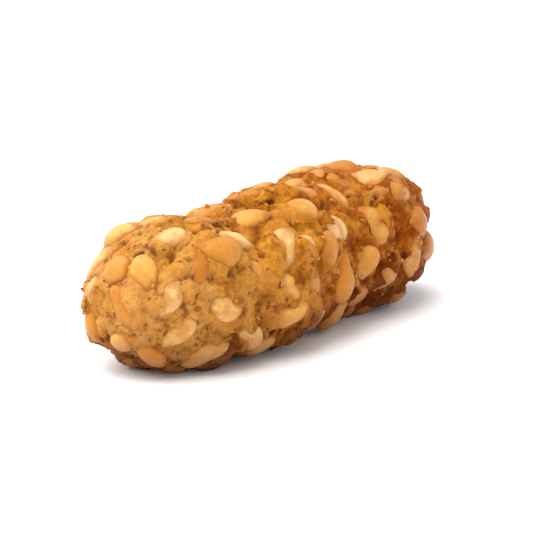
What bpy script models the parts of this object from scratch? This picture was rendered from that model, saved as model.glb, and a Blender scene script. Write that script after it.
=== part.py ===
"""A sesame stick: a short stick of fried dough with a craggy crust and hulled sesame seeds stuck all
over it, lying on a table.

+X runs along the stick, +Z is up, and the origin is on the table under the stick's middle.
"""

import math
import random

import bmesh
import bpy
from mathutils import Matrix, Vector, noise
from mathutils.bvhtree import BVHTree

MM = 0.001

# The stick as it lies. It is a little wider than it is high, and its spine sways sideways. Its -X
# end turns towards +Y and its +X end droops. It rests on its lowest lumps and seeds, which are
# flat where they meet the table.
LENGTH = 24.2 * MM
WIDTH = 7.7 * MM
HEIGHT = 7.3 * MM
BOW = -0.80 * MM
SWAY = -0.50 * MM
END_TURN = 0.80 * MM
END_DROOP = 0.50 * MM
END_REACH = 8
SIDE_SHIFT = 0.36 * MM
GROUND_GAP = 0.06 * MM

# The middle of the stick's box as it is made. The stick is then moved, with this over the origin.
MADE_AT = Vector((-0.155 * MM, -0.334 * MM, 0.0))

# Where it swells and narrows: the place along it, how far that reaches, and the change in girth.
SWELLINGS = (
    (0.13, 0.11, 0.09),
    (0.34, 0.08, 0.01),
    (0.62, 0.12, -0.025),
)

# The form of its ends and of its cross-section, as powers of a superellipse.
END_POWER = 5.0
SECTION_POWER = 2.3
CAP = 0.16

# The crust's relief: broad lumps, then crags. Each has a size along the surface and a height.
RELIEF = (
    (5.2 * MM, 0.42 * MM),
    (2.3 * MM, 0.34 * MM),
    (1.25 * MM, 0.25 * MM),
)
RELIEF_OFFSET = Vector((3.7, 1.3, 8.1))
RINGS = 46
SIDES = 42

# A hulled sesame seed, and how the seeds lie on the crust.
SEED_LENGTH = 2.75 * MM
SEED_WIDTH = 1.65 * MM
SEED_THICKNESS = 1.10 * MM
SEED_SIZES = (0.80, 1.08)
SEED_SPACING = 1.78 * MM
SEED_CLUSTERS = 0.16
CLUSTER_SIZE = 3.0 * MM
SEED_SHOWING = (0.34, 0.50)
SEED_TILT = math.radians(10)
SEED_BEND = 0.70
SEED_TRIES = 7000
SEED_STATIONS = ((0.18, 0.56), (0.55, 1.0), (0.86, 0.70))
SEED_SECTION = (0, 52, 128, 180, 270)
RANDOM_SEED = 41

CRUST_COLOUR = (0.56, 0.26, 0.068, 1.0)
CRUST_ROUGHNESS = 0.55


def clear_scene():
    for thing in list(bpy.data.objects):
        bpy.data.objects.remove(thing)


def spine_point(s):
    """The point of the spine at the share s of the way from the -X tip to the +X tip."""
    sideways = BOW * math.sin(math.pi * s) + SWAY * math.sin(2 * math.pi * s)
    return Vector((
        (s - 0.5) * LENGTH,
        sideways + END_TURN * (1 - s) ** END_REACH + SIDE_SHIFT,
        HEIGHT / 2 + GROUND_GAP - END_DROOP * s ** END_REACH,
    ))


def spine_direction(s):
    step = 0.01
    return (spine_point(s + step) - spine_point(s - step)).normalized()


def end_profile(s):
    """How much of the full thickness the stick has at s: about 1 on the way, 0 at each tip."""
    swelling = sum(change * math.exp(-(((s - at) / reach) ** 2)) for at, reach, change in SWELLINGS)
    return (1 + swelling) * math.sqrt(max(0.0, 1.0 - abs(2 * s - 1) ** END_POWER))


def section_radius(angle):
    """The radius of the rounded square section, of which 1 is the half width."""
    p = SECTION_POWER
    return (abs(math.cos(angle)) ** p + abs(math.sin(angle)) ** p) ** (-1 / p)


def relief(point):
    """How far the crust stands out at a point, in metres."""
    return sum(
        height * noise.noise(point / size + RELIEF_OFFSET * (n + 1))
        for n, (size, height) in enumerate(RELIEF)
    )


def crust_point(s, angle):
    """The point of the crust at s along the stick and angle round it, from +Y up to +Z."""
    across = spine_direction(s).cross(Vector((0, 0, 1))).normalized()
    reach = end_profile(s) * section_radius(angle)
    smooth = (
        spine_point(s)
        - across * (WIDTH / 2 * reach * math.cos(angle))
        + Vector((0, 0, HEIGHT / 2 * reach * math.sin(angle)))
    )
    core = spine_point(min(max(s, CAP), 1 - CAP))
    return smooth + (smooth - core).normalized() * relief(smooth)


def crust_normal(s, angle):
    step = 0.004
    along = crust_point(s + step, angle) - crust_point(s - step, angle)
    round_it = crust_point(s, angle + 8 * step) - crust_point(s, angle - 8 * step)
    return round_it.cross(along).normalized()


def even_stations(count):
    """Places from tip to tip, as far apart over the rounded ends as along the sides."""
    fine = 2000
    places = [n / fine for n in range(fine + 1)]
    lengths = [0.0]
    for a, b in zip(places, places[1:]):
        rise = (end_profile(b) - end_profile(a)) * HEIGHT / 2
        lengths.append(lengths[-1] + math.hypot((b - a) * LENGTH, rise))
    stations = []
    n = 0
    for k in range(1, count):
        wanted = lengths[-1] * k / count
        while lengths[n] < wanted:
            n += 1
        stations.append(places[n])
    return stations


def new_object(name, bm):
    mesh = bpy.data.meshes.new(name)
    bmesh.ops.recalc_face_normals(bm, faces=bm.faces)
    bm.to_mesh(mesh)
    bm.free()
    thing = bpy.data.objects.new(name, mesh)
    bpy.context.scene.collection.objects.link(thing)
    return thing


def closed_rings(bm, first, rings, last):
    """Skins a row of rings of vertices, closed to a point at both ends."""
    count = len(rings[0])
    for k in range(count):
        after = (k + 1) % count
        bm.faces.new((first, rings[0][k], rings[0][after]))
        bm.faces.new((last, rings[-1][after], rings[-1][k]))
        for a, b in zip(rings, rings[1:]):
            bm.faces.new((a[k], b[k], b[after], a[after]))


def make_crust():
    bm = bmesh.new()
    angles = [2 * math.pi * k / SIDES for k in range(SIDES)]
    rings = [
        [bm.verts.new(crust_point(s, angle)) for angle in angles]
        for s in even_stations(RINGS)
    ]
    first = bm.verts.new(crust_point(0.0, 0.0))
    last = bm.verts.new(crust_point(1.0, 0.0))
    closed_rings(bm, first, rings, last)
    return new_object("sesame_stick", bm)


def laid_on(surface, place, x, y, z):
    """A point of a seed in its place, bent part of the way to the crust that it is pressed into."""
    straight = place @ Vector((x, y, z))
    sunk = place.translation - surface.find_nearest(place.translation)[0]
    up = place.to_3x3() @ Vector((0, 0, 1))
    depth = sunk.dot(up.normalized())
    under, normal = surface.find_nearest(place @ Vector((x, y, 0)))[:2]
    bent = under + normal * (depth + z * up.length)
    return straight.lerp(bent, SEED_BEND)


def make_seed(name, place, surface):
    """A teardrop, pointed at its -X end, turned and moved by the matrix place."""
    bm = bmesh.new()
    first = bm.verts.new(laid_on(surface, place, -SEED_LENGTH / 2, 0, 0))
    last = bm.verts.new(laid_on(surface, place, SEED_LENGTH / 2, 0, 0))
    rings = []
    for station, girth in SEED_STATIONS:
        x = (station - 0.5) * SEED_LENGTH
        ring = []
        for degrees in SEED_SECTION:
            angle = math.radians(degrees)
            y = SEED_WIDTH / 2 * girth * math.cos(angle)
            z = SEED_THICKNESS / 2 * girth * math.sin(angle)
            ring.append(bm.verts.new(laid_on(surface, place, x, y, z)))
        rings.append(ring)
    closed_rings(bm, first, rings, last)
    return new_object(name, bm)


def seed_places():
    """Where the seeds lie: flat on the crust, spread evenly, turned and tilted at random."""
    draw = random.Random(RANDOM_SEED)
    stations = even_stations(400)
    places = []
    for _ in range(SEED_TRIES):
        s = draw.choice(stations)
        angle = draw.uniform(0, 2 * math.pi)
        spin = draw.uniform(0, 2 * math.pi)
        size = draw.uniform(*SEED_SIZES)
        showing = draw.uniform(*SEED_SHOWING)
        tilts = [draw.uniform(-SEED_TILT, SEED_TILT) for _ in range(2)]
        if draw.random() > end_profile(s):
            continue
        point = crust_point(s, angle)
        spacing = SEED_SPACING * (1 + SEED_CLUSTERS * noise.noise(point / CLUSTER_SIZE))
        if any((point - other.translation).length < spacing for other in places):
            continue
        normal = crust_normal(s, angle)
        turn = normal.to_track_quat("Z", "Y").to_matrix().to_4x4()
        point += normal * ((showing - 0.5) * SEED_THICKNESS * size)
        places.append(
            Matrix.Translation(point)
            @ turn
            @ Matrix.Rotation(spin, 4, "Z")
            @ Matrix.Rotation(tilts[0], 4, "X")
            @ Matrix.Rotation(tilts[1], 4, "Y")
            @ Matrix.Scale(size, 4)
        )
    return places


def apply_boolean(thing, name, solver, **settings):
    modifier = thing.modifiers.new(name, "BOOLEAN")
    modifier.solver = solver
    for key, value in settings.items():
        setattr(modifier, key, value)
    bpy.context.view_layer.update()
    graph = bpy.context.evaluated_depsgraph_get()
    mesh = bpy.data.meshes.new_from_object(thing.evaluated_get(graph))
    thing.modifiers.clear()
    old = thing.data
    thing.data = mesh
    bpy.data.meshes.remove(old)


def fuse_seeds(stick):
    seeds = bpy.data.collections.new("seeds")
    bpy.context.scene.collection.children.link(seeds)
    surface = BVHTree.FromObject(stick, bpy.context.evaluated_depsgraph_get())
    for n, place in enumerate(seed_places()):
        seed = make_seed(f"seed_{n}", place, surface)
        bpy.context.scene.collection.objects.unlink(seed)
        seeds.objects.link(seed)
    apply_boolean(
        stick, "fuse_seeds", "MANIFOLD",
        operation="UNION", operand_type="COLLECTION", collection=seeds,
    )
    for seed in list(seeds.objects):
        bpy.data.objects.remove(seed)
    bpy.data.collections.remove(seeds)


def keep_outer_skin(stick):
    """Drops every closed skin but the largest: the pockets sealed under seeds, and loose scraps."""
    bm = bmesh.new()
    bm.from_mesh(stick.data)
    left = set(bm.verts)
    skins = []
    while left:
        skin = set()
        edge_of_skin = [left.pop()]
        while edge_of_skin:
            vert = edge_of_skin.pop()
            skin.add(vert)
            for edge in vert.link_edges:
                other = edge.other_vert(vert)
                if other in left:
                    left.remove(other)
                    edge_of_skin.append(other)
        skins.append(skin)
    skins.sort(key=len)
    for skin in skins[:-1]:
        bmesh.ops.delete(bm, geom=list(skin), context="VERTS")
    bm.to_mesh(stick.data)
    bm.free()


def cut_flat(stick):
    """Cuts the flat spots that the stick rests on, at z = 0."""
    bm = bmesh.new()
    bmesh.ops.create_cube(bm, size=1.0)
    depth = HEIGHT
    bmesh.ops.scale(bm, vec=(2 * LENGTH, 2 * LENGTH, depth), verts=bm.verts)
    bmesh.ops.translate(bm, vec=(0, 0, -depth / 2), verts=bm.verts)
    block = new_object("table", bm)
    apply_boolean(stick, "flat", "MANIFOLD", operation="DIFFERENCE", object=block)
    bpy.data.objects.remove(block)


def centre(stick):
    for vert in stick.data.vertices:
        vert.co -= MADE_AT


def crust_material():
    material = bpy.data.materials.new("baked_crust")
    material.use_nodes = True
    shader = material.node_tree.nodes["Principled BSDF"]
    shader.inputs["Base Color"].default_value = CRUST_COLOUR
    shader.inputs["Roughness"].default_value = CRUST_ROUGHNESS
    shader.inputs["Metallic"].default_value = 0.0
    material.diffuse_color = CRUST_COLOUR
    return material


def build():
    clear_scene()
    stick = make_crust()
    fuse_seeds(stick)
    cut_flat(stick)
    keep_outer_skin(stick)
    centre(stick)
    stick.data.materials.clear()
    stick.data.materials.append(crust_material())


build()
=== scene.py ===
"""The looks of a sesame stick: a craggy glazed crust, hulled sesame seeds and stuck crumbs, on a
plain pale floor. Lengths are in metres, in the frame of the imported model.
"""
import math
import random

import bmesh
import bpy
import numpy as np
from mathutils import Matrix, Vector, noise
from mathutils.bvhtree import BVHTree


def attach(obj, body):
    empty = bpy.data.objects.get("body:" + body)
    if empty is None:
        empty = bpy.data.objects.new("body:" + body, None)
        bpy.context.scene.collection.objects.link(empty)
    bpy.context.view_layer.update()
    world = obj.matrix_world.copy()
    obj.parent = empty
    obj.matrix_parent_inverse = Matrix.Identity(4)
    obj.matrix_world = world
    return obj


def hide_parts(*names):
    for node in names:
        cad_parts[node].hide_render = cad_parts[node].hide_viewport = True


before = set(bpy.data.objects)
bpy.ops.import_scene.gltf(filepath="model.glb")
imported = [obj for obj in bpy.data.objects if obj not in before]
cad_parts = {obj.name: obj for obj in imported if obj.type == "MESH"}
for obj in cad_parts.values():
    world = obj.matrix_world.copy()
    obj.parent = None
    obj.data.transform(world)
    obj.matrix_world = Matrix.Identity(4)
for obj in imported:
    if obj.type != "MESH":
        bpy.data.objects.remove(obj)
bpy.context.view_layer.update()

MM = 0.001
FULL_CIRCLE = 2 * math.pi

# The stick's form, as in the CAD source.
LENGTH = 24.2 * MM
WIDTH = 7.7 * MM
HEIGHT = 7.3 * MM
BOW = -0.80 * MM
SWAY = -0.50 * MM
END_TURN = 0.80 * MM
END_DROOP = 0.50 * MM
END_REACH = 8
SIDE_SHIFT = 0.36 * MM
GROUND_GAP = 0.06 * MM
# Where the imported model's origin lies in the form as these values make it.
MADE_AT = Vector((-0.155 * MM, -0.334 * MM, 0.0))
# Where the stick is thicker, as (place from 0 to 1, reach, share of its thickness).
SWELLINGS = (
    (0.13, 0.11, 0.09),
    (0.34, 0.08, 0.01),
    (0.62, 0.12, -0.025),
)
END_POWER = 5.0
SECTION_POWER = 2.3
CAP = 0.16
# The crags, as (size, height).
RELIEF = (
    (5.2 * MM, 0.42 * MM),
    (2.3 * MM, 0.34 * MM),
    (1.25 * MM, 0.25 * MM),
)
RELIEF_OFFSET = Vector((3.7, 1.3, 8.1))
# The grid of the form that the seeds are pressed into.
FORM_RINGS = 150
FORM_SIDES = 130

# The seeds, as in the CAD source.
SEED_LENGTH = 2.75 * MM
SEED_WIDTH = 1.65 * MM
SEED_THICKNESS = 1.10 * MM
SEED_SIZES = (0.80, 1.08)
SEED_SPACING = 1.78 * MM
SEED_CLUSTERS = 0.16
CLUSTER_SIZE = 3.0 * MM
SEED_SHOWING = (0.34, 0.50)
SEED_TILT = math.radians(10)
SEED_BEND = 0.70
SEED_TRIES = 7000
SEED_PLACES_ALONG = 400
RANDOM_SEED = 41

# A seed's shape: its width rises from the point and rounds off at the other end, and its
# thickness keeps up a little nearer to both ends.
POINT_POWER = 0.62
ROUND_POWER = 3
ROUND_FALL = 0.6
WIDEST = 0.632
PLUMP_POWER = 0.8
SEED_CROWNS = (0.9, 1.05)
SEED_SWELL = 0.07
SEED_SWELL_SIZE = 0.8 * MM
SEED_STATIONS = 32
SEED_SIDES = 24
# How far out of the dough a seed shows its own colour alone.
SEED_EDGE = 0.20 * MM

# The crust's finer grain, which only this script makes: pebbles and crumbs as domes in a
# pattern of cells, their reach given as a share of a cell, with grit, roughness and pits.
FINE_RINGS = 320
FINE_SIDES = 280
PEBBLE_SIZE = 0.80 * MM
PEBBLE_HEIGHT = 0.22 * MM
PEBBLE_REACH = 0.78
CRUMB_SIZE = 0.36 * MM
CRUMB_HEIGHT = 0.12 * MM
CRUMB_REACH = 0.68
DOME_SUNK = 0.6
GRIT_SIZE = 0.22 * MM
GRIT_HEIGHT = 0.06 * MM
ROUGH_SIZE = 0.9 * MM
ROUGH_HEIGHT = 0.12 * MM
# Of noise in layers: (how fast they weaken, how much finer each is, their number).
ROUGH_LAYERS = (0.55, 2.1, 4)
# The cells are bent out of shape by this much.
WARP_SIZE = 0.6 * MM
WARP_REACH = 0.2 * MM
# Burst blisters: a pit with a lip, whose height is a share of the pit's depth.
BLISTER_SIZE = 1.9 * MM
BLISTER_REACH = 0.17
BLISTER_DEPTH = 0.20 * MM
BLISTER_LIP = 0.3
LIP_PLACE = 1.15
LIP_WIDTH = 0.3
GRAIN_SUNK = 0.06 * MM
# Patches where the pebbles and crumbs are weaker: (usual share, change) and (least, most).
PATCH_SIZE = 2.8 * MM
PATCH_CHANGE = (0.75, 0.9)
PATCH_SHARES = (0.3, 1.0)

# The dough that rises over the seeds' edges: higher to one side of a seed, by the slope, and
# fading out past its edge, by a reach given as a share of its half width.
COVER_HEIGHTS = (0.05 * MM, 0.40 * MM)
COVER_SLOPE = 0.55
COVER_LEAST = 0.2
COVER_MOST = 0.42 * MM
COVER_REACH = 0.30
COVER_SEARCH = 2.8 * MM
# It is thicker and thinner in patches.
COVER_PATCH = 1.10 * MM
COVER_LAYERS = (0.7, 2.0, 2)
COVER_CHANGE = 1.3
COVER_SHARES = (0.2, 1.8)
# Beyond this share of a seed's thickness it fades out too.
COVER_TOP = 0.9
COVER_TOP_FALL = 2
# The share of the fine grain that is lost beside a seed.
GRAIN_LOST = 0.65

# Crumbs stuck on the crust. Their sizes are radii.
STUCK_CRUMBS = 420
STUCK_SIZES = (0.06 * MM, 0.20 * MM)
STUCK_SIZE_POWER = 2.5
STUCK_PATCH = 2.4 * MM
STUCK_CHANGE = (0.55, 0.8)
STUCK_ABOVE = 0.5 * MM
STUCK_LIFT = 0.1
STUCK_TURN = 6.28
STUCK_STRETCH = (0.65, 1.25)
STUCK_LUMPS = 0.5
STUCK_LUMPS_PER_RADIUS = 1.4
STUCK_CUTS = 8
STUCK_CUT_REACH = (0.5, 0.9)

# Where each pattern of noise is taken from, so that no two agree.
NOISE_SPREAD = 50
PATCHES_AT = Vector((9.1, 2.2, 5.5))
PEBBLES_AT = Vector((1.7, 4.4, 0.3))
CRUMBS_AT = Vector((7.7, 0.4, 3.3))
ROUGH_AT = Vector((0.6, 4.1, 7.3))
BLISTERS_AT = Vector((2.6, 8.3, 6.9))
COVER_AT = Vector((5.2, 0.9, 2.4))
STUCK_AT = Vector((3.3, 7.1, 0.2))

# In the materials, places and sizes are in millimetres and colours are sRGB from 0 to 255.
# The two spots that are browner than the rest, as (place, reach): toasting near the far end's top,
# and painted shade low on the -Y side by the floor.
TOAST_AND_SHADE_SPOTS = (
    ((10.4, -3.0, 4.6), 3.6),
    ((5.0, -3.6, 1.0), 3.4),
)
# From NEAR_END to FAR_END the crust goes from paler to browner, partly toasting and partly painted
# light and shade; the paler near end, partly painted light, reaches to PALE_UNTIL.
NEAR_END = -12.0
PALE_UNTIL = -2.0
FAR_END = 12.0
# Millimetres by which the painted shade below, over a browner fried underside, reaches higher, per
# unit of toast along the stick.
SHADE_BELOW_SLOPE = 5.5
CRUST_TONES = {
    "light": (207, 140, 45),
    # toasted also takes in painted shade, towards the far end and in one spot by the floor
    "toasted": (152, 66, 6),
    # pale is partly painted light at the near end
    "pale": (214, 164, 98),
    "golden": (216, 150, 38),
    "mottled": (137, 64, 6),
    # high is paler raised grain, partly rubbed and partly painted light; low and pit are painted
    # shade in hollows and pits
    "high": (205, 136, 50),
    "low": (88, 34, 7),
    "pit": (68, 28, 7),
    "frost": (206, 152, 86),
    # under is painted shade below, over a browner fried underside
    "under": (76, 26, 5),
    "fine": (149, 73, 9),
    # pore is painted shade in pores
    "pore": (98, 42, 10),
    "speck": (68, 28, 8),
}
SEED_TONES = {
    "ivory": (226, 185, 122),
    "tan": (209, 156, 74),
    "brown": (182, 111, 34),
    "patch": (180, 111, 33),
    "point": (150, 84, 28),
    "fleck": (158, 96, 34),
    # under is painted shade below
    "under": (109, 48, 11),
    # toasted is the spots' colour: toasting, and painted shade by the floor
    "toasted": (156, 82, 19),
    # far is painted shade towards the far end, with toasting
    "far": (160, 87, 17),
    "edge": (161, 88, 21),
}
CRUMB_TONES = {
    "light": (198, 144, 70),
    "tan": (173, 104, 33),
    "dark": (117, 55, 13),
    "mottled": (155, 85, 24),
    # toasted is the spots' colour: toasting, and painted shade by the floor
    "toasted": (134, 66, 14),
    # far is painted shade towards the far end, with toasting
    "far": (142, 72, 16),
    # under is painted shade below
    "under": (110, 48, 10),
}
FLOOR_TONES = ((246, 246, 246), (243, 243, 243))
FLOOR_SIZE = 4.0

# The camera stands as the photograph's does: low, with the near end at the lower left.
CAMERA_AZIMUTH = math.radians(-48)
CAMERA_ELEVATION = math.radians(15.5)
CAMERA_DISTANCE = 0.50
CAMERA_LENS = 640.0
CAMERA_SENSOR = 36
CAMERA_CLIP = (0.01, 5)

# The light: one wide sun from above and the left, as (right, up, back) in the picture, and a sky.
SUN_FROM = (-0.56, 1.3, 0.16)
SUN_SPREAD = math.radians(70)
SUN_STRENGTH = 3.66
SKY_STRENGTH = 0.985


def clamp(value, low, high):
    return min(max(value, low), high)


def spine_point(s):
    """The point of the spine at the share s of the way from the -X tip to the +X tip."""
    sideways = BOW * math.sin(math.pi * s) + SWAY * math.sin(FULL_CIRCLE * s)
    return Vector((
        (s - 0.5) * LENGTH,
        sideways + END_TURN * (1 - s) ** END_REACH + SIDE_SHIFT,
        HEIGHT / 2 + GROUND_GAP - END_DROOP * s ** END_REACH,
    ))


def spine_direction(s):
    step = 0.01
    return (spine_point(s + step) - spine_point(s - step)).normalized()


def end_profile(s):
    """How much of the full thickness the stick has at s: about 1 on the way, 0 at each tip."""
    swelling = sum(change * math.exp(-(((s - at) / reach) ** 2)) for at, reach, change in SWELLINGS)
    return (1 + swelling) * math.sqrt(max(0.0, 1.0 - abs(2 * s - 1) ** END_POWER))


def section_radius(angle):
    """The radius of the rounded square section, of which 1 is the half width."""
    p = SECTION_POWER
    return (abs(math.cos(angle)) ** p + abs(math.sin(angle)) ** p) ** (-1 / p)


def relief(point):
    """How far the crust stands out at a point."""
    return sum(
        height * noise.noise(point / size + RELIEF_OFFSET * (n + 1))
        for n, (size, height) in enumerate(RELIEF)
    )


def crust_point(s, angle):
    """The point of the crust at s along the stick and angle round it, from +Y up to +Z."""
    across = spine_direction(s).cross(Vector((0, 0, 1))).normalized()
    reach = end_profile(s) * section_radius(angle)
    smooth = (
        spine_point(s)
        - across * (WIDTH / 2 * reach * math.cos(angle))
        + Vector((0, 0, HEIGHT / 2 * reach * math.sin(angle)))
    )
    core = spine_point(clamp(s, CAP, 1 - CAP))
    return smooth + (smooth - core).normalized() * relief(smooth)


def crust_normal(s, angle):
    step = 0.004
    turn = 8 * step
    along = crust_point(s + step, angle) - crust_point(s - step, angle)
    round_it = crust_point(s, angle + turn) - crust_point(s, angle - turn)
    return round_it.cross(along).normalized()


def even_stations(count):
    """Places from tip to tip, as far apart over the rounded ends as along the sides."""
    fine = 2000
    places = [n / fine for n in range(fine + 1)]
    lengths = [0.0]
    for a, b in zip(places, places[1:]):
        rise = (end_profile(b) - end_profile(a)) * HEIGHT / 2
        lengths.append(lengths[-1] + math.hypot((b - a) * LENGTH, rise))
    stations = []
    n = 0
    for k in range(1, count):
        wanted = lengths[-1] * k / count
        while lengths[n] < wanted:
            n += 1
        stations.append(places[n])
    return stations


def smooth_stations(count):
    """The same, without the small steps that count when the rings are close together."""
    steps = 6000
    fine = [0.5 - 0.5 * math.cos(math.pi * n / steps) for n in range(steps + 1)]
    profile = [end_profile(s) * HEIGHT / 2 for s in fine]
    pieces = np.hypot(np.diff(fine) * LENGTH, np.diff(profile))
    lengths = np.concatenate([[0.0], np.cumsum(pieces)])
    return np.interp(np.linspace(0, lengths[-1], count + 1)[1:-1], lengths, fine)


def crust_grid(stations, sides):
    """(points, faces) of the crust on a grid closed to a point at both tips."""
    angles = [FULL_CIRCLE * k / sides for k in range(sides)]
    points = [crust_point(s, angle) for s in stations for angle in angles]
    points.append(crust_point(0.0, 0.0))
    points.append(crust_point(1.0, 0.0))
    return points, ring_faces(len(stations), sides, 0)


def ring_faces(rings, sides, start):
    """Faces over rings of points numbered from start, with the two end points after them."""
    faces = []
    first = start + rings * sides
    last = first - sides
    for k in range(sides):
        after = (k + 1) % sides
        faces.append((first, start + after, start + k))
        faces.append((first + 1, last + k, last + after))
        for r in range(rings - 1):
            a = start + r * sides
            b = a + sides
            faces.append((a + after, b + after, b + k, a + k))
    return faces


def seed_places():
    """Where the seeds lie: flat on the crust, spread evenly, turned and tilted at random."""
    draw = random.Random(RANDOM_SEED)
    stations = even_stations(SEED_PLACES_ALONG)
    places = []
    for _ in range(SEED_TRIES):
        s = draw.choice(stations)
        angle = draw.uniform(0, FULL_CIRCLE)
        spin = draw.uniform(0, FULL_CIRCLE)
        size = draw.uniform(*SEED_SIZES)
        showing = draw.uniform(*SEED_SHOWING)
        tilts = [draw.uniform(-SEED_TILT, SEED_TILT) for _ in range(2)]
        if draw.random() > end_profile(s):
            continue
        point = crust_point(s, angle)
        spacing = SEED_SPACING * (1 + SEED_CLUSTERS * noise.noise(point / CLUSTER_SIZE))
        if any((point - other.translation).length < spacing for other in places):
            continue
        normal = crust_normal(s, angle)
        turn = normal.to_track_quat("Z", "Y").to_matrix().to_4x4()
        point += normal * ((showing - 0.5) * SEED_THICKNESS * size)
        places.append(
            Matrix.Translation(point)
            @ turn
            @ Matrix.Rotation(spin, 4, "Z")
            @ Matrix.Rotation(tilts[0], 4, "X")
            @ Matrix.Rotation(tilts[1], 4, "Y")
            @ Matrix.Scale(size, 4)
        )
    return places


def new_piece(name, points, faces):
    """A smooth mesh that moves with the object's one body."""
    mesh = bpy.data.meshes.new(name)
    mesh.from_pydata([tuple(p) for p in points], [], faces)
    mesh.update()
    mesh.shade_smooth()
    piece = bpy.data.objects.new(name, mesh)
    bpy.context.scene.collection.objects.link(piece)
    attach(piece, "root")
    return piece


def add_number(piece, name, values):
    """A number for each point of a piece, which its material can read."""
    attribute = piece.data.attributes.new(name, "FLOAT", "POINT")
    attribute.data.foreach_set("value", np.asarray(values, np.float32))


def normals_of(piece):
    mesh = piece.data
    mesh.update()
    normals = np.empty(len(mesh.vertices) * 3, np.float32)
    mesh.vertex_normals.foreach_get("vector", normals)
    return normals.reshape(-1, 3).astype(float)


def skin_of(piece):
    """A piece's faces, ready to be searched for the nearest point."""
    mesh = piece.data
    corners = [v.co for v in mesh.vertices]
    return BVHTree.FromPolygons(corners, [tuple(p.vertices) for p in mesh.polygons])


def random_offset(draw):
    """Where to take noise from, for a pattern that no other piece has."""
    return Vector([draw.uniform(0, NOISE_SPREAD) for _ in range(3)])


def dome(distance, reach):
    return math.sqrt(max(0.0, 1.0 - (distance / reach) ** 2))


def nearest_cell(point):
    """The distance to the middle of the nearest of irregular cells about 1 across."""
    return noise.voronoi(point)[0][0]


def fine_grain(point):
    """(height, hollow): how high the fine grain stands at a point, and how deep in a pit it is."""
    usual, change = PATCH_CHANGE
    patch = usual + change * noise.noise(point / PATCH_SIZE + PATCHES_AT)
    patch = clamp(patch, *PATCH_SHARES)
    bent = point + Vector(noise.noise_vector(point / WARP_SIZE)) * WARP_REACH
    pebble = dome(nearest_cell(bent / PEBBLE_SIZE + PEBBLES_AT), PEBBLE_REACH) - DOME_SUNK
    crumb = dome(nearest_cell(bent / CRUMB_SIZE + CRUMBS_AT), CRUMB_REACH) - DOME_SUNK
    rough = noise.fractal(point / ROUGH_SIZE + ROUGH_AT, *ROUGH_LAYERS)
    grit = noise.noise(point / GRIT_SIZE)
    height = (
        patch * (PEBBLE_HEIGHT * pebble + CRUMB_HEIGHT * crumb)
        + GRIT_HEIGHT * grit
        + ROUGH_HEIGHT * rough
    )
    distance = nearest_cell(bent / BLISTER_SIZE + BLISTERS_AT)
    pit = max(0.0, 1.0 - (distance / BLISTER_REACH) ** 2)
    from_lip = (distance - LIP_PLACE * BLISTER_REACH) / (LIP_WIDTH * BLISTER_REACH)
    lip = math.exp(-(from_lip ** 2))
    height += -BLISTER_DEPTH * pit + BLISTER_LIP * BLISTER_DEPTH * lip
    return height - GRAIN_SUNK, pit


def dough_patch(point):
    """How thick the dough lies over a seed at a point, as a share of its usual height."""
    lump = noise.fractal(point / COVER_PATCH + COVER_AT, *COVER_LAYERS)
    return clamp(1.0 + COVER_CHANGE * lump, *COVER_SHARES)


def dough_over_seeds(points, places):
    """(height, beside): how far dough rises over the seeds' edges, and 1 by a seed to 0 away."""
    draw = random.Random(RANDOM_SEED + 3)
    height = np.zeros(len(points))
    beside = np.zeros(len(points))
    ragged = np.array([dough_patch(Vector(p)) for p in points])
    for place in places:
        cover = draw.uniform(*COVER_HEIGHTS)
        lean = draw.uniform(0, FULL_CIRCLE)
        middle = np.array(place.translation)
        close = np.nonzero(((points - middle) ** 2).sum(axis=1) < COVER_SEARCH ** 2)[0]
        back = np.array(place.inverted())
        local = points[close] @ back[:3, :3].T + back[:3, 3]
        x = local[:, 0] / (SEED_LENGTH / 2)
        y = local[:, 1] / (SEED_WIDTH / 2)
        above = np.maximum(np.abs(local[:, 2]) / SEED_THICKNESS - COVER_TOP, 0)
        share = np.hypot(x, y) + above * COVER_TOP_FALL
        near = np.exp(-((np.maximum(share - 1, 0) / COVER_REACH) ** 2))
        slope = 1 + COVER_SLOPE * (x * math.cos(lean) + y * math.sin(lean))
        rise = np.minimum(cover * np.maximum(slope, COVER_LEAST) * ragged[close], COVER_MOST)
        height[close] = np.maximum(height[close], near * rise)
        beside[close] = np.maximum(beside[close], near)
    return height, beside


def make_crust(places):
    """The stick without its seeds, with fine grain, and with dough over the seeds' edges."""
    points, faces = crust_grid(smooth_stations(FINE_RINGS), FINE_SIDES)
    crust = new_piece("crust", points, faces)
    base = np.array([tuple(p) for p in points])
    normals = normals_of(crust)
    grain = np.array([fine_grain(p) for p in points])
    cover, beside = dough_over_seeds(base, places)
    height = grain[:, 0] * (1 - GRAIN_LOST * beside) + cover
    moved = base + normals * height[:, None]
    moved[:, 2] = np.maximum(moved[:, 2], 0.0)
    crust.data.vertices.foreach_set("co", moved.astype(np.float32).ravel())
    add_number(crust, "grain", grain[:, 0] / PEBBLE_HEIGHT)
    add_number(crust, "hollow", grain[:, 1])
    crust.data.update()
    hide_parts("sesame_stick")
    return crust


def teardrop(t):
    """The half width of a seed at t along it, from its point to its round end, at most 1."""
    return t ** POINT_POWER * max(0.0, 1 - t ** ROUND_POWER) ** ROUND_FALL / WIDEST


def seed_shape(crown):
    """The points of a straight seed along X, as plump as crown says, its two ends last."""
    points = []
    for r in range(1, SEED_STATIONS):
        t = 0.5 - 0.5 * math.cos(math.pi * r / SEED_STATIONS)
        girth = teardrop(t)
        for k in range(SEED_SIDES):
            angle = FULL_CIRCLE * k / SEED_SIDES
            y = SEED_WIDTH / 2 * girth * math.cos(angle)
            z = SEED_THICKNESS / 2 * girth ** PLUMP_POWER * math.sin(angle) * crown
            points.append(Vector(((t - 0.5) * SEED_LENGTH, y, z)))
    points.append(Vector((-SEED_LENGTH / 2, 0, 0)))
    points.append(Vector((SEED_LENGTH / 2, 0, 0)))
    return points


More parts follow.
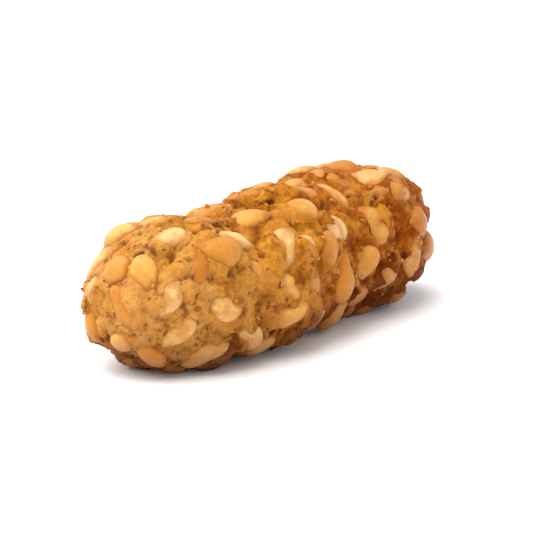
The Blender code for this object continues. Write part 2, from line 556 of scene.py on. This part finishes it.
def laid_on(surface, place, depth, x, y, z):
    """A point of a seed in its place, bent part of the way to the crust that it is pressed into."""
    up = place.to_3x3() @ Vector((0, 0, 1))
    straight = place @ Vector((x, y, z))
    under, normal = surface.find_nearest(place @ Vector((x, y, 0)))[:2]
    bent = under + normal * (depth + z * up.length)
    return straight.lerp(bent, SEED_BEND)


def make_seeds(places, surface, crust):
    """All the seeds as one mesh, each with its own tone and small unevenness."""
    draw = random.Random(RANDOM_SEED + 1)
    skin = skin_of(crust)
    points = []
    faces = []
    tones = []
    clear = []
    lengthwise = []
    for place in places:
        start = len(points)
        tone = draw.random()
        offset = random_offset(draw)
        crown = draw.uniform(*SEED_CROWNS)
        sunk = place.translation - surface.find_nearest(place.translation)[0]
        up = (place.to_3x3() @ Vector((0, 0, 1))).normalized()
        depth = sunk.dot(up)
        for p in seed_shape(crown):
            swell = 1 + SEED_SWELL * noise.noise(p / SEED_SWELL_SIZE + offset)
            placed = laid_on(surface, place, depth, p.x, p.y * swell, p.z * swell)
            placed.z = max(placed.z, 0.0)
            dough, outward = skin.find_nearest(placed)[:2]
            points.append(placed)
            tones.append(tone)
            clear.append((placed - dough).dot(outward) / SEED_EDGE)
            lengthwise.append(p.x / SEED_LENGTH + 0.5)
        faces.extend(ring_faces(SEED_STATIONS - 1, SEED_SIDES, start))
    seeds = new_piece("sesame_seeds", points, faces)
    add_number(seeds, "tone", tones)
    add_number(seeds, "clear", clear)
    add_number(seeds, "lengthwise", lengthwise)
    return seeds


def unit_ball():
    """(points, faces) of a coarse ball of radius 1."""
    ball = bmesh.new()
    bmesh.ops.create_icosphere(ball, subdivisions=2, radius=1.0)
    points = [v.co.copy() for v in ball.verts]
    faces = [tuple(v.index for v in f.verts) for f in ball.faces]
    ball.free()
    return points, faces


def random_cut(draw):
    """A flat face to cut off a ball of radius 1: (the way it faces, its distance)."""
    outward = Vector([draw.gauss(0, 1) for _ in range(3)]).normalized()
    return outward, draw.uniform(*STUCK_CUT_REACH)


def crumb_shape(draw, ball, size):
    """The points of an angular crumb: a lumpy ball with flat faces, stretched and turned."""
    about_x = Matrix.Rotation(draw.uniform(0, STUCK_TURN), 3, "X")
    about_y = Matrix.Rotation(draw.uniform(0, STUCK_TURN), 3, "Y")
    turn = about_x @ about_y
    stretch = Vector([draw.uniform(*STUCK_STRETCH) for _ in range(3)])
    offset = random_offset(draw)
    cuts = [random_cut(draw) for _ in range(STUCK_CUTS)]
    points = []
    for v in ball:
        p = v * (1 + STUCK_LUMPS * noise.noise(v * STUCK_LUMPS_PER_RADIUS + offset))
        for outward, reach in cuts:
            p = p - outward * max(0.0, p.dot(outward) - reach)
        points.append(turn @ Vector([a * b * size for a, b in zip(p, stretch)]))
    return points


def make_crumbs(crust):
    """Crumbs of crust stuck all over the stick, more in some patches, as one mesh."""
    draw = random.Random(RANDOM_SEED + 2)
    ball, skin = unit_ball()
    normals = normals_of(crust)
    corners = crust.data.vertices
    usual, change = STUCK_CHANGE
    least, most = STUCK_SIZES
    points = []
    faces = []
    tones = []
    while len(tones) < STUCK_CRUMBS * len(ball):
        n = draw.randrange(len(corners))
        at = corners[n].co
        share = usual + change * noise.noise(at / STUCK_PATCH + STUCK_AT)
        if draw.random() > share or at.z < STUCK_ABOVE:
            continue
        size = least + (most - least) * draw.random() ** STUCK_SIZE_POWER
        shape = crumb_shape(draw, ball, size)
        middle = at + Vector(normals[n]) * (STUCK_LIFT * size)
        tone = draw.random()
        start = len(points)
        points.extend(middle + p for p in shape)
        tones.extend([tone] * len(shape))
        faces.extend(tuple(start + k for k in face) for face in skin)
    crumbs = new_piece("stuck_crumbs", points, faces)
    add_number(crumbs, "tone", tones)
    return crumbs


def linear(c):
    """An sRGB value of 0 to 255 as a linear one of 0 to 1."""
    c = c / 255
    return c / 12.92 if c <= 0.04045 else ((c + 0.055) / 1.055) ** 2.4


def srgb(red, green, blue):
    """A colour of 0 to 255 as a shader's linear one."""
    return (linear(red), linear(green), linear(blue), 1.0)


class Shader:
    """A Principled material with short ways to add the nodes that feed it."""

    def __init__(self, name):
        self.material = bpy.data.materials.new(name)
        self.material.use_nodes = True
        self.tree = self.material.node_tree
        self.out = self.tree.nodes["Principled BSDF"]
        where = self.add("ShaderNodeTexCoord")
        to_mm = self.add("ShaderNodeMapping")
        to_mm.inputs["Scale"].default_value = (1 / MM,) * 3
        self.link(where.outputs["Object"], to_mm.inputs["Vector"])
        self.place = to_mm.outputs["Vector"]
        split = self.add("ShaderNodeSeparateXYZ")
        self.link(self.place, split.inputs["Vector"])
        self.x = split.outputs["X"]
        self.z = split.outputs["Z"]

    def add(self, kind, **settings):
        node = self.tree.nodes.new(kind)
        for key, value in settings.items():
            setattr(node, key, value)
        return node

    def link(self, source, target):
        self.tree.links.new(source, target)

    def set(self, **values):
        """Sockets of the shader that are the same all over, with _ for each space in a name."""
        for name, value in values.items():
            self.out.inputs[name.replace("_", " ")].default_value = value

    def number(self, name):
        """The number that each point of the mesh has under a name."""
        return self.add("ShaderNodeAttribute", attribute_name=name).outputs["Fac"]

    def noise(self, size, detail=3.0, rough=0.55):
        """Noise from 0 to 1, of features about size across."""
        node = self.add("ShaderNodeTexNoise")
        node.inputs["Scale"].default_value = 1 / size
        node.inputs["Detail"].default_value = detail
        node.inputs["Roughness"].default_value = rough
        self.link(self.place, node.inputs["Vector"])
        return node.outputs["Fac"]

    def blotches(self, size, low, high, detail=3.0, rough=0.55, to_low=0.0, to_high=1.0):
        """Noise of features about size across, with its values from low to high carried over."""
        return self.span(self.noise(size, detail, rough), low, high, to_low, to_high)

    def cells(self, size):
        """The distance from the middle of the nearest of cells about size across."""
        node = self.add("ShaderNodeTexVoronoi")
        node.inputs["Scale"].default_value = 1 / size
        self.link(self.place, node.inputs["Vector"])
        return node.outputs["Distance"]

    def near(self, spot, reach):
        """1 at a spot, and 0 from reach away on."""
        node = self.add("ShaderNodeVectorMath", operation="DISTANCE")
        self.link(self.place, node.inputs[0])
        node.inputs[1].default_value = spot
        return self.span(node.outputs["Value"], reach, 0.0)

    def span(self, value, low, high, to_low=0.0, to_high=1.0):
        """A value from low to high carried over to one from to_low to to_high, and kept there."""
        node = self.add("ShaderNodeMapRange")
        node.inputs["From Min"].default_value = low
        node.inputs["From Max"].default_value = high
        node.inputs["To Min"].default_value = to_low
        node.inputs["To Max"].default_value = to_high
        self.link(value, node.inputs["Value"])
        return node.outputs["Result"]

    def math(self, operation, a, b):
        """A sum, difference or product of sockets and numbers, a product kept from 0 to 1."""
        node = self.add("ShaderNodeMath", operation=operation, use_clamp=operation == "MULTIPLY")
        for socket, value in zip(node.inputs, (a, b)):
            if isinstance(value, (int, float)):
                socket.default_value = value
            else:
                self.link(value, socket)
        return node.outputs[0]

    def mix(self, share, a, b):
        """Colour a where share is 0 and b where it is 1, each a socket or a colour of 0 to 255."""
        node = self.add("ShaderNodeMix", data_type="RGBA")
        self.link(share, node.inputs["Factor"])
        for socket, value in ((node.inputs[6], a), (node.inputs[7], b)):
            if isinstance(value, tuple):
                socket.default_value = srgb(*value)
            else:
                self.link(value, socket)
        return node.outputs[2]

    def tint(self, colour, tone, share, strength):
        """A colour with a tone laid over it, strength of it where share is 1."""
        return self.mix(self.math("MULTIPLY", share, strength), colour, tone)

    def finish(self, colour, roughness, *bumps):
        """The shader fed with its colour and roughness, and with bumps of (height, depth)."""
        self.link(colour, self.out.inputs["Base Color"])
        self.link(roughness, self.out.inputs["Roughness"])
        before = None
        for height, depth in bumps:
            node = self.add("ShaderNodeBump")
            node.inputs["Strength"].default_value = 1.0
            node.inputs["Distance"].default_value = depth
            self.link(height, node.inputs["Height"])
            if before is not None:
                self.link(before, node.inputs["Normal"])
            before = node.outputs["Normal"]
        if before is not None:
            self.link(before, self.out.inputs["Normal"])


def crust_material():
    """Golden dough, paler at the near end, browner at the far end, in its hollows and below, in
    part toasting and in part painted light and shade.
    """
    m = Shader("glazed_crust")
    tone = CRUST_TONES
    grain = m.number("grain")

    # Browner towards the far end: partly toasting, partly painted shade away from the light on the
    # near end's side.
    along = m.span(m.x, low=NEAR_END, high=FAR_END, to_low=-0.23, to_high=0.34)
    toast = m.math("ADD", m.noise(size=4.5, detail=4), along)
    # Browner spots: toasting, and painted shade low by the floor.
    for place, reach in TOAST_AND_SHADE_SPOTS:
        near = m.span(m.near(place, reach), low=0.0, high=1.0, to_high=0.30)
        toast = m.math("ADD", toast, near)
    toast = m.span(toast, low=0.38, high=0.66)
    colour = m.mix(toast, tone["light"], tone["toasted"])

    # Paler at the near end: partly lighter baking, partly painted light.
    pale = m.span(m.x, low=NEAR_END, high=PALE_UNTIL, to_low=0.72, to_high=0.0)
    colour = m.mix(pale, colour, tone["pale"])

    upper = m.span(m.z, low=2.0, high=7.0, to_low=-0.05, to_high=0.05)
    golden = m.span(m.math("ADD", m.noise(size=1.7), upper), low=0.48, high=0.68)
    untoasted = m.span(toast, low=0.0, high=1.0, to_low=0.75, to_high=0.35)
    colour = m.mix(m.math("MULTIPLY", golden, untoasted), colour, tone["golden"])

    mottle = m.blotches(size=1.1, detail=4, rough=0.6, low=0.3, high=0.7)
    colour = m.tint(colour, tone["mottled"], mottle, strength=0.58)

    # Paler on the raised grain, partly rubbing and partly painted light; darker in hollows and
    # blister pits, painted shade with glaze pooled in the hollows.
    high = m.span(grain, low=-0.25, high=0.35)
    colour = m.tint(colour, tone["high"], high, strength=0.55)
    low = m.span(grain, low=-0.2, high=-1.0)
    colour = m.tint(colour, tone["low"], low, strength=0.82)
    colour = m.tint(colour, tone["pit"], m.number("hollow"), strength=0.8)

    on_grain = m.span(grain, low=-0.5, high=0.5, to_low=-0.08, to_high=0.08)
    frost = m.math("ADD", m.noise(size=2.0, detail=5, rough=0.65), on_grain)
    colour = m.tint(colour, tone["frost"], m.span(frost, low=0.55, high=0.68), strength=0.4)

    # Painted shade: darker below, over a browner fried underside, reaching higher towards the far
    # end.
    level = m.math("SUBTRACT", m.z, m.math("MULTIPLY", along, SHADE_BELOW_SLOPE))
    under = m.span(m.math("ADD", level, m.noise(size=2.5)), low=3.4, high=0.9)
    colour = m.tint(colour, tone["under"], under, strength=0.85)

    fine = m.blotches(size=0.33, detail=4, rough=0.7, low=0.46, high=0.62)
    colour = m.tint(colour, tone["fine"], fine, strength=0.27)

    # Darker in the pores: painted shade.
    holes = m.span(m.cells(size=0.42), low=0.30, high=0.12)
    pore = m.math("MULTIPLY", holes, m.blotches(size=0.9, low=0.46, high=0.60))
    colour = m.tint(colour, tone["pore"], pore, strength=0.5)

    speck = m.blotches(size=0.5, detail=2, rough=0.4, low=0.68, high=0.74)
    colour = m.tint(colour, tone["speck"], speck, strength=0.7)

    m.finish(
        colour,
        m.blotches(size=1.6, low=0.3, high=0.7, to_low=0.36, to_high=0.6),
        (m.noise(size=0.12, detail=4, rough=0.65), 0.12 * MM),
        (m.noise(size=0.4, rough=0.6), 0.12 * MM),
        (m.math("SUBTRACT", 1.0, pore), 0.08 * MM),
    )
    m.set(
        Subsurface_Weight=0.12,
        Subsurface_Radius=(1.0, 0.40, 0.14),
        Subsurface_Scale=0.25 * MM,
        Specular_IOR_Level=0.12,
        Specular_Tint=(1.0, 0.66, 0.28, 1.0),
        IOR=1.42,
    )
    return m.material


def seed_material():
    """Hulled sesame, ivory to brown, darker at its point and at the dough, and with painted shade
    below and far along.
    """
    m = Shader("sesame_seed")
    tone = SEED_TONES
    own = m.number("tone")
    colour = m.mix(m.span(own, low=0.0, high=0.5), tone["ivory"], tone["tan"])
    colour = m.mix(m.span(own, low=0.55, high=1.0), colour, tone["brown"])

    patch = m.blotches(size=0.8, detail=4, rough=0.6, low=0.44, high=0.60)
    colour = m.tint(colour, tone["patch"], patch, strength=0.45)
    lengthwise = m.math("ADD", m.number("lengthwise"), m.noise(size=0.6, detail=2))
    colour = m.tint(colour, tone["point"], m.span(lengthwise, low=0.80, high=0.50), strength=0.7)
    fleck = m.blotches(size=0.16, rough=0.6, low=0.56, high=0.66)
    colour = m.tint(colour, tone["fleck"], fleck, strength=0.25)

    # Painted shade: darker below.
    under = m.span(m.math("ADD", m.z, m.noise(size=2.5)), low=3.6, high=1.2)
    colour = m.tint(colour, tone["under"], under, strength=0.65)
    # Browner spots: toasting, and painted shade low by the floor.
    for place, reach in TOAST_AND_SHADE_SPOTS:
        near = m.span(m.near(place, reach), low=0.0, high=0.8, to_high=0.6)
        colour = m.mix(near, colour, tone["toasted"])
    # Darker towards the far end: painted shade away from the light, with toasting.
    colour = m.mix(m.span(m.x, low=0.0, high=FAR_END, to_high=0.52), colour, tone["far"])

    ragged = m.blotches(size=0.7, low=0.35, high=0.65, to_low=-0.3, to_high=0.3)
    edge = m.span(m.math("ADD", m.number("clear"), ragged), low=1.0, high=0.0)
    colour = m.tint(colour, tone["edge"], edge, strength=0.6)

    m.finish(
        colour,
        m.blotches(size=0.5, low=0.3, high=0.7, to_low=0.28, to_high=0.48),
        (m.noise(size=0.10, rough=0.6), 0.025 * MM),
        (m.noise(size=0.35), 0.06 * MM),
    )
    m.set(
        Subsurface_Weight=0.15,
        Subsurface_Radius=(1.0, 0.55, 0.25),
        Subsurface_Scale=0.3 * MM,
        Specular_IOR_Level=0.35,
        Specular_Tint=(1.0, 0.76, 0.44, 1.0),
        IOR=1.44,
        Coat_Weight=0.08,
        Coat_Roughness=0.18,
        Coat_IOR=1.40,
    )
    return m.material


def crumb_material():
    """Crumbs of the crust, each with its own tone, browner where the crust is, with painted shade
    below and far along.
    """
    m = Shader("crust_crumb")
    tone = CRUMB_TONES
    own = m.number("tone")
    colour = m.mix(m.span(own, low=0.0, high=0.5), tone["light"], tone["tan"])
    colour = m.mix(m.span(own, low=0.5, high=1.0), colour, tone["dark"])
    mottle = m.blotches(size=0.25, detail=2, low=0.3, high=0.7)
    colour = m.tint(colour, tone["mottled"], mottle, strength=0.4)
    # Browner spots: toasting, and painted shade low by the floor.
    for place, reach in TOAST_AND_SHADE_SPOTS:
        near = m.span(m.near(place, reach), low=0.0, high=0.6, to_high=0.8)
        colour = m.mix(near, colour, tone["toasted"])
    # Darker towards the far end: painted shade away from the light, with toasting.
    colour = m.mix(m.span(m.x, low=0.0, high=FAR_END, to_high=0.5), colour, tone["far"])
    # Painted shade: darker below.
    colour = m.mix(m.span(m.z, low=3.4, high=0.9, to_high=0.7), colour, tone["under"])
    m.finish(
        colour,
        m.blotches(size=0.3, detail=2, low=0.3, high=0.7, to_low=0.4, to_high=0.65),
        (m.noise(size=0.07, rough=0.6), 0.02 * MM),
    )
    m.set(
        Subsurface_Weight=0.12,
        Subsurface_Radius=(1.0, 0.40, 0.14),
        Subsurface_Scale=0.2 * MM,
        Specular_IOR_Level=0.4,
        Specular_Tint=(1.0, 0.70, 0.34, 1.0),
        IOR=1.45,
    )
    return m.material


def floor_material():
    m = Shader("pale_floor")
    colour = m.mix(m.noise(size=40.0), *FLOOR_TONES)
    m.finish(colour, m.blotches(size=3.0, low=0.0, high=1.0, to_low=0.55, to_high=0.65))
    m.set(IOR=1.3)
    return m.material


def dress(piece, material):
    piece.data.materials.clear()
    piece.data.materials.append(material)


def make_floor():
    corners = ((-1, -1), (1, -1), (1, 1), (-1, 1))
    mesh = bpy.data.meshes.new("floor")
    mesh.from_pydata([(x * FLOOR_SIZE, y * FLOOR_SIZE, 0) for x, y in corners], [], [(0, 1, 2, 3)])
    floor = bpy.data.objects.new("floor", mesh)
    bpy.context.scene.collection.objects.link(floor)
    dress(floor, floor_material())


def seen_from_camera(right, up, back):
    """A direction given as the camera sees it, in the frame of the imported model."""
    side = Vector((math.cos(CAMERA_AZIMUTH), math.sin(CAMERA_AZIMUTH), 0))
    away = Vector((-math.sin(CAMERA_AZIMUTH), math.cos(CAMERA_AZIMUTH), 0))
    return (side * right - away * back + Vector((0, 0, up))).normalized()


def aim(thing, place, target):
    """Puts a camera or lamp in its place and turns it to face a target."""
    thing.location = place
    thing.rotation_mode = "QUATERNION"
    thing.rotation_quaternion = (Vector(target) - Vector(place)).to_track_quat("-Z", "Y")


def make_camera(target):
    data = bpy.data.cameras.new("camera")
    data.lens = CAMERA_LENS
    data.sensor_width = CAMERA_SENSOR
    data.clip_start, data.clip_end = CAMERA_CLIP
    camera = bpy.data.objects.new("camera", data)
    bpy.context.scene.collection.objects.link(camera)
    back = Vector((
        math.sin(CAMERA_AZIMUTH) * math.cos(CAMERA_ELEVATION),
        -math.cos(CAMERA_AZIMUTH) * math.cos(CAMERA_ELEVATION),
        math.sin(CAMERA_ELEVATION),
    ))
    aim(camera, target + back * CAMERA_DISTANCE, target)
    bpy.context.scene.camera = camera


def make_sun(name, direction, spread, strength):
    """A light from a direction, as wide as the angle spread, so that its shadows are soft."""
    data = bpy.data.lights.new(name, "SUN")
    data.angle = spread
    data.energy = strength
    sun = bpy.data.objects.new(name, data)
    bpy.context.scene.collection.objects.link(sun)
    aim(sun, direction, Vector((0, 0, 0)))


def make_world(strength):
    """An even white sky."""
    world = bpy.data.worlds.new("studio")
    world.use_nodes = True
    sky = world.node_tree.nodes["Background"]
    sky.inputs["Color"].default_value = (1.0, 1.0, 1.0, 1.0)
    sky.inputs["Strength"].default_value = strength
    bpy.context.scene.world = world


# Without a seed, the vector noise of the grain would differ from run to run.
noise.seed_set(RANDOM_SEED)
places = seed_places()
form_points, form_faces = crust_grid(smooth_stations(FORM_RINGS), FORM_SIDES)
surface = BVHTree.FromPolygons(form_points, form_faces)
crust = make_crust(places)
seeds = make_seeds(places, surface, crust)
crumbs = make_crumbs(crust)
for piece in (crust, seeds, crumbs):
    piece.data.transform(Matrix.Translation(-MADE_AT))
dress(crust, crust_material())
dress(seeds, seed_material())
dress(crumbs, crumb_material())

make_floor()
make_camera(Vector((0, 0, HEIGHT / 2)))
make_sun("key", seen_from_camera(*SUN_FROM), SUN_SPREAD, SUN_STRENGTH)
make_world(SKY_STRENGTH)
bpy.context.scene.view_settings.view_transform = "Standard"
